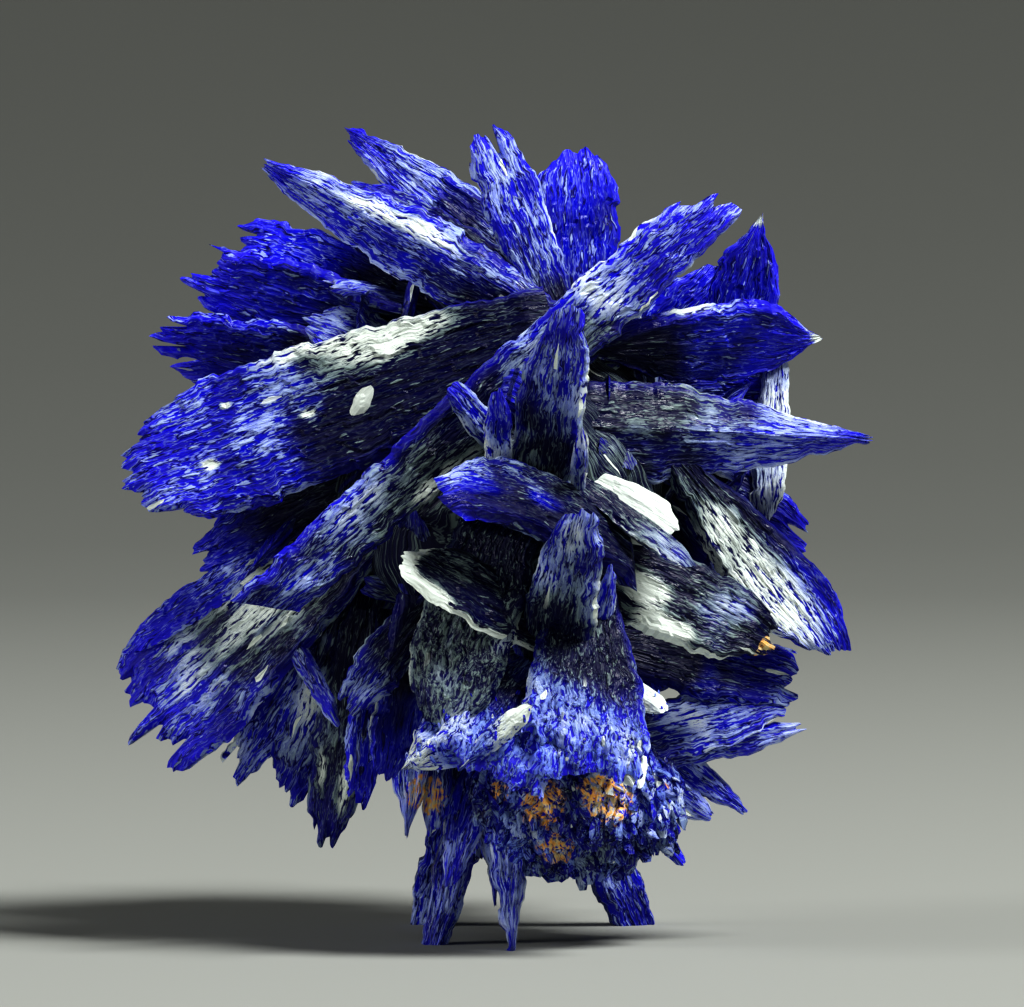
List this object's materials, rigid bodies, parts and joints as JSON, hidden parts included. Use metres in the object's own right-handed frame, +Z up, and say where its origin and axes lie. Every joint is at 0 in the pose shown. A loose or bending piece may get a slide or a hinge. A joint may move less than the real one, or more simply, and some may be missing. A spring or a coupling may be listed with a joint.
{
  "type": "azurite rosette",
  "caption": "Rosette of broad, flat azurite blades grown outwards from one heart, deep blue with torn ends and streaked faces, standing on the cut ends of its lowest blades.",
  "frame": {"origin": "middle of the bounding box's bottom face, on the surface that the rosette rests on", "axes": "+Z up; the front, with the long bar across it, looks along -Y; +X to the right of someone looking at the front"},
  "size_m": [0.0305, 0.0254, 0.0326],
  "materials": {
    "azurite": "vitreous crystal faces, deep azure blue, with pale frosty flecks and a little orange-brown limonite near the base"
  },
  "bodies": {
    "root": {"azurite_rosette": "azurite"}
  },
  "joints": []
}
